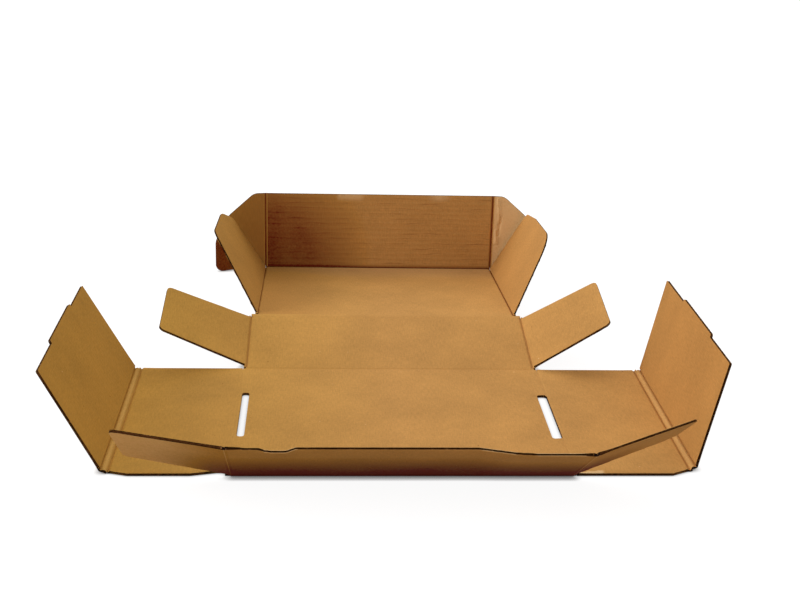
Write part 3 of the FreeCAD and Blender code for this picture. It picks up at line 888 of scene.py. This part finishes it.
class MAILER_OT_papers(bpy.types.Operator):
    """Make the papers that the board is built from"""
    bl_idname = "mailer.papers"
    bl_label = "Papers"

    def execute(self, context):
        paper = context.scene.mailer_paper
        make_liner_material(paper, context.scene.mailer_board.flute)
        make_edge_paper(MEDIUM, paper.medium, paper.medium)
        make_edge_paper(EDGE, paper.edge, paper.torn)
        return {"FINISHED"}


def steps_between(low, high, count):
    """Evenly spaced places in metres, between two in millimetres."""
    return [(low + (high - low) * (step + 0.5) / count) * MM for step in range(count)]


def foot_shade(co, height):
    """How much painted shade the outside face has at this height above the fold at the foot of the front wall."""
    darkest, start = FOOT_SHADE
    reach = bpy.context.scene.mailer_wear.foot_shade
    return -min(max(start - darkest * height / reach, 0), darkest) if co.z < 0 else 0


def is_torn(co):
    """Whether the outside liner is torn at this place along the front wall's top edge."""
    return any(start < co.x / MM < end for start, end in TORN)


class MAILER_OT_base(bpy.types.Operator):
    """Make the base"""
    bl_idname = "mailer.base"
    bl_label = "Base"

    def execute(self, context):
        make_board("base_panel")
        return {"FINISHED"}


class MAILER_OT_front_wall(bpy.types.Operator):
    """Make the front wall, with its bend, its dented top edge and painted shade at its foot"""
    bl_idname = "mailer.front_wall"
    bl_label = "Front wall"

    def execute(self, context):
        def wear_and_painted_light(co):
            if co.y > TORN_FROM * MM and is_torn(co):
                return TORN_RUB
            # Painted shade at the foot and painted light all over the outside; the torn top edge above is real.
            return foot_shade(co, co.y) + FRONT_WALL_LIGHT * (co.z < 0)

        places = steps_between(-146, -40, 36) + steps_between(-40, 84, 6) + steps_between(84, 136, 26)
        make_board("front_wall", wear_and_painted_light, cuts=(places, ()), shape=shape_front_wall)
        return {"FINISHED"}


class MAILER_OT_front_flaps(bpy.types.Operator):
    """Make the corner flaps at the ends of the front wall"""
    bl_idname = "mailer.front_flaps"
    bl_label = "Front flaps"

    def execute(self, context):
        for side, sign in zip(SIDES, (-1, 1)):
            def wear_and_painted_light(co):
                # Painted shade towards the foot and the fold, and painted light on the outside, stronger away from
                # the fold.
                painted_shade = FLAP_FOOT_SHADE * foot_shade(co, sign * co.x) * fade(co.y, none=70, full=0)
                return painted_shade + (co.z < 0) * (FLAP_BOUNCE_LIGHT[side] * fade(co.y, none=0, full=60))

            make_board(side + "_front_flap", wear_and_painted_light, cuts=((), steps_between(0, 90, 9)))
        return {"FINISHED"}


class MAILER_OT_back_flaps(bpy.types.Operator):
    """Make the corner flaps at the ends of the back wall"""
    bl_idname = "mailer.back_flaps"
    bl_label = "Back flaps"

    def execute(self, context):
        for side in SIDES:
            make_board(side + "_back_flap")
        return {"FINISHED"}


class MAILER_OT_back_wall(bpy.types.Operator):
    """Make the back wall"""
    bl_idname = "mailer.back_wall"
    bl_label = "Back wall"

    def execute(self, context):
        make_board("back_wall")
        return {"FINISHED"}


class MAILER_OT_side_walls(bpy.types.Operator):
    """Make the side walls"""
    bl_idname = "mailer.side_walls"
    bl_label = "Side walls"

    def execute(self, context):
        def scuff(co):
            start, height, paleness = SCUFF
            return paleness * (co.z > 0 and co.x > (start - co.y / MM / 6) * MM and co.y < height * MM)

        # Painted shade on all of the left side wall; the scuff at the right one's front end is real.
        make_board("left_side_wall", wear_and_painted_light=lambda co: -LEFT_SIDE_SHADE)
        make_board("right_side_wall", scuff, cuts=((), steps_between(0, 30, 10)))
        return {"FINISHED"}


class MAILER_OT_spines(bpy.types.Operator):
    """Make the spines, the narrow strips on top of the side walls"""
    bl_idname = "mailer.spines"
    bl_label = "Spines"

    def execute(self, context):
        for side in SIDES:
            make_board(side + "_spine", wear_and_painted_light=lambda co: SPINE_RUB)
        return {"FINISHED"}


class MAILER_OT_rollovers(bpy.types.Operator):
    """Make the roll-over panels, with the tabs that lock in the base"""
    bl_idname = "mailer.rollovers"
    bl_label = "Roll-overs"

    def execute(self, context):
        for side in SIDES:
            # Painted shade on both roll-overs.
            make_board(side + "_rollover", wear_and_painted_light=lambda co: -ROLLOVER_SHADE)
        return {"FINISHED"}


class MAILER_OT_lid(bpy.types.Operator):
    """Make the lid"""
    bl_idname = "mailer.lid"
    bl_label = "Lid"

    def execute(self, context):
        def wear_and_painted_light(co):
            # Painted light towards the tuck flap and painted shade towards the left, on the inside face.
            paleness, painted_shade = fade(co.y, none=150, full=216), fade(co.x, none=-30, full=-130)
            return (co.z > 0) * (LID_FRONT_LIGHT * paleness - LID_LEFT_SHADE * painted_shade)

        make_board("lid", wear_and_painted_light, cuts=(steps_between(-142, 0, 6), steps_between(150, 216, 8)))
        return {"FINISHED"}


class MAILER_OT_lid_flaps(bpy.types.Operator):
    """Make the side flaps of the lid"""
    bl_idname = "mailer.lid_flaps"
    bl_label = "Lid flaps"

    def execute(self, context):
        for side in SIDES:
            # Painted shade on both lid flaps.
            make_board(side + "_lid_flap", wear_and_painted_light=lambda co: -LID_FLAP_SHADE)
        return {"FINISHED"}


class MAILER_OT_tuck_flap(bpy.types.Operator):
    """Make the tuck flap, with painted shade at its left end"""
    bl_idname = "mailer.tuck_flap"
    bl_label = "Tuck flap"

    def execute(self, context):
        # Painted shade at the left end and in the line at the foot, and painted light all over; the rubbed top edge
        # is real.
        def wear_and_painted_light(co):
            away = math.hypot(co.x / MM - TUCK_SHADE_MIDDLE[0], co.y / MM - TUCK_SHADE_MIDDLE[1]) / TUCK_SHADE_REACH
            painted_shade = min(max(TUCK_SHADE_START - away, 0), TUCK_SHADE_DARKEST) + TUCK_SHADE_END * fade(co.x, none=-112, full=-133)
            painted_shade += TUCK_FOOT_SHADE * fade(co.y, none=5.5, full=2.4)
            paler = any(start < co.x / MM < end for start, end in RUBBED) * fade(co.y, none=85, full=92)
            return TUCK_LIGHT + TUCK_RUB * paler - painted_shade * (co.z > -MM)

        def flutes(co):
            return TUCK_FLUTES[0] + (TUCK_FLUTES[1] - TUCK_FLUTES[0]) * fade(co.x, none=-60, full=20)

        places = steps_between(-133, -33, 20) + steps_between(-33, 133, 10)
        make_board("tuck_flap", wear_and_painted_light, flutes, cuts=(places, ()))
        return {"FINISHED"}


class MAILER_OT_tuck_ears(bpy.types.Operator):
    """Make the ears of the tuck flap, the left one with painted shade and the right one crumpled, with painted
    highlights
    """
    bl_idname = "mailer.tuck_ears"
    bl_label = "Tuck ears"

    def execute(self, context):
        # Painted shade on the inside of the left ear.
        def left_ear_shade(co):
            everywhere, corner = EAR_SHADE
            low, outer = fade(co.x, none=55, full=30), fade(co.y, none=22, full=50)
            return -(co.z > -MM) * (everywhere + corner * outer * low)

        # Painted highlight on the right ear and on its crumples, with a painted shadow line along each crumple's
        # crest.
        def paler(co):
            width, less = CRUMPLE_SHADOW
            paleness = EAR_HIGHLIGHT + CRUMPLE_HIGHLIGHT * crumpled(co, CRUMPLE_WIDTHS[0]) - less * crumpled(co, width)
            return paleness * (co.z > 0)

        make_board("left_tuck_ear", left_ear_shade, cuts=((), steps_between(4, 60, 10)))
        make_board("right_tuck_ear", paler, cuts=(steps_between(-94, -30, 32), steps_between(3, 17, 14)),
                   shape=shape_right_ear)
        return {"FINISHED"}


class MAILER_OT_creases(bpy.types.Operator):
    """Make the crease at every fold line"""
    bl_idname = "mailer.creases"
    bl_label = "Creases"

    def execute(self, context):
        for seed, node in enumerate(sorted(HINGES)):
            full = node.endswith(("side_wall", "spine", "rollover")) or node in ("lid", "tuck_flap")
            make_crease(node, seed, full)
        return {"FINISHED"}


def seen_by(tree, *kinds):
    """1 for rays of these kinds and 0 for all others."""
    rays = node_in(tree, "ShaderNodeLightPath").outputs
    seen = rays[kinds[0]]
    for kind in kinds[1:]:
        seen = node_in(tree, MATH, {"operation": "ADD", "use_clamp": True}, i0=seen, i1=rays[kind]).outputs[0]
    return seen


def make_floor(stage):
    """A white table: plain white to the camera but for the dark line under the box, and warm to the box itself."""
    bpy.ops.object.select_all(action="DESELECT")
    bpy.ops.mesh.primitive_plane_add(size=FLOOR_SIZE, location=(0, 0, 0))
    floor = bpy.context.object
    floor.name = floor.data.name = "floor"
    tree, shader = new_material(FLOOR)
    near = node_in(tree, "ShaderNodeAmbientOcclusion", None, Color=(*stage.floor, 1), Distance=stage.contact)
    white = node_in(tree, "ShaderNodeEmission", None, Color=near.outputs["Color"], Strength=FLOOR_GLOW).outputs[0]
    matt = node_in(tree, "ShaderNodeBsdfDiffuse", None, Color=(*linear(FLOOR_MATT), 1)).outputs[0]
    shown = node_in(tree, "ShaderNodeAddShader", None, i0=white, i1=matt).outputs[0]
    hidden = node_in(tree, "ShaderNodeBsdfDiffuse", None, Color=(*stage.bounce, 1)).outputs[0]
    seen = seen_by(tree, "Is Camera Ray", "Is Glossy Ray", "Is Transmission Ray")
    mix = node_in(tree, "ShaderNodeMixShader", None, Fac=seen, i1=hidden, i2=shown).outputs[0]
    tree.links.new(mix, tree.nodes["Material Output"].inputs["Surface"])
    tree.nodes.remove(shader)
    floor.data.materials.append(bpy.data.materials[FLOOR])


def make_world(stage):
    """White surroundings that light the box more weakly than the camera sees them."""
    world = bpy.data.worlds.new("studio")
    world.use_nodes = True
    bpy.context.scene.world = world
    tree = world.node_tree
    strength = node_in(tree, "ShaderNodeMapRange", None, Value=seen_by(tree, "Is Camera Ray", "Is Transmission Ray"),
                       **{"To Min": stage.world, "To Max": 1.0}).outputs[0]
    background = tree.nodes["Background"]
    background.inputs["Color"].default_value = (*stage.floor, 1)
    tree.links.new(strength, background.inputs["Strength"])


def make_lamps():
    """Large soft lamps that look at the box."""
    for name, (location, size, energy) in LAMPS.items():
        bpy.ops.object.light_add(type="AREA", location=location)
        lamp = bpy.context.object
        lamp.name = name
        lamp.data.shape = "DISK"
        lamp.data.size = size
        lamp.data.energy = energy
        lamp.rotation_euler = (LAMP_TARGET - lamp.location).to_track_quat("-Z", "Y").to_euler()


def make_camera(stage):
    """The camera at its place, turned by its three angles."""
    pitch, yaw, roll = stage.pitch, stage.yaw, stage.roll
    ahead = Vector((math.sin(yaw) * math.cos(pitch), math.cos(yaw) * math.cos(pitch), -math.sin(pitch)))
    level = Vector((math.cos(yaw), -math.sin(yaw), 0))
    upright = level.cross(ahead)
    right = level * math.cos(roll) + upright * math.sin(roll)
    up = upright * math.cos(roll) - level * math.sin(roll)
    bpy.ops.object.camera_add()
    camera = bpy.context.object
    camera.matrix_world = Matrix.Translation(stage.camera) @ Matrix((right, up, -ahead)).transposed().to_4x4()
    camera.data.lens = stage.lens
    camera.data.sensor_width = 36
    camera.data.shift_x, camera.data.shift_y = stage.shift
    camera.data.clip_start, camera.data.clip_end = 0.01, 100
    bpy.context.scene.camera = camera


class MAILER_OT_stage(bpy.types.Operator):
    """Set up the floor, the light and the camera"""
    bl_idname = "mailer.stage"
    bl_label = "Stage"

    def execute(self, context):
        stage = context.scene.mailer_stage
        activate(bpy.data.objects["base_panel_board"])
        make_floor(stage)
        make_world(stage)
        make_lamps()
        make_camera(stage)
        context.scene.view_settings.view_transform = "Standard"
        return {"FINISHED"}


SETTINGS = {
    "mailer_board": BoardSettings,
    "mailer_paper": PaperSettings,
    "mailer_wear": WearAndShadeSettings,
    "mailer_stage": StageSettings,
}
MAKERS = (MAILER_OT_papers, MAILER_OT_base, MAILER_OT_front_wall, MAILER_OT_front_flaps, MAILER_OT_back_wall,
          MAILER_OT_back_flaps, MAILER_OT_side_walls, MAILER_OT_spines, MAILER_OT_rollovers, MAILER_OT_lid,
          MAILER_OT_lid_flaps, MAILER_OT_tuck_flap, MAILER_OT_tuck_ears, MAILER_OT_creases, MAILER_OT_stage)


class MAILER_PT_panel(bpy.types.Panel):
    """The mailer box's own panel in the sidebar"""
    bl_idname = "MAILER_PT_panel"
    bl_label = "Mailer box"
    bl_space_type = "VIEW_3D"
    bl_region_type = "UI"
    bl_category = "Mailer"

    def draw(self, context):
        for maker in MAKERS:
            self.layout.operator(maker.bl_idname)
        for settings in SETTINGS:
            group = getattr(context.scene, settings)
            for name in group.__annotations__:
                self.layout.prop(group, name)


CLASSES = (*SETTINGS.values(), *MAKERS, MAILER_PT_panel)


def register():
    """Adds the operators and the panel, and the settings to the scene."""
    for cls in CLASSES:
        bpy.utils.register_class(cls)
    for name, settings in SETTINGS.items():
        setattr(bpy.types.Scene, name, PointerProperty(type=settings))


def unregister():
    """Takes them away again."""
    for name in SETTINGS:
        delattr(bpy.types.Scene, name)
    for cls in reversed(CLASSES):
        bpy.utils.unregister_class(cls)


def main():
    """Builds the box and its stage."""
    register()
    for maker in MAKERS:
        getattr(bpy.ops.mailer, maker.bl_idname.split(".")[1])()


if __name__ == "__main__":
    main()
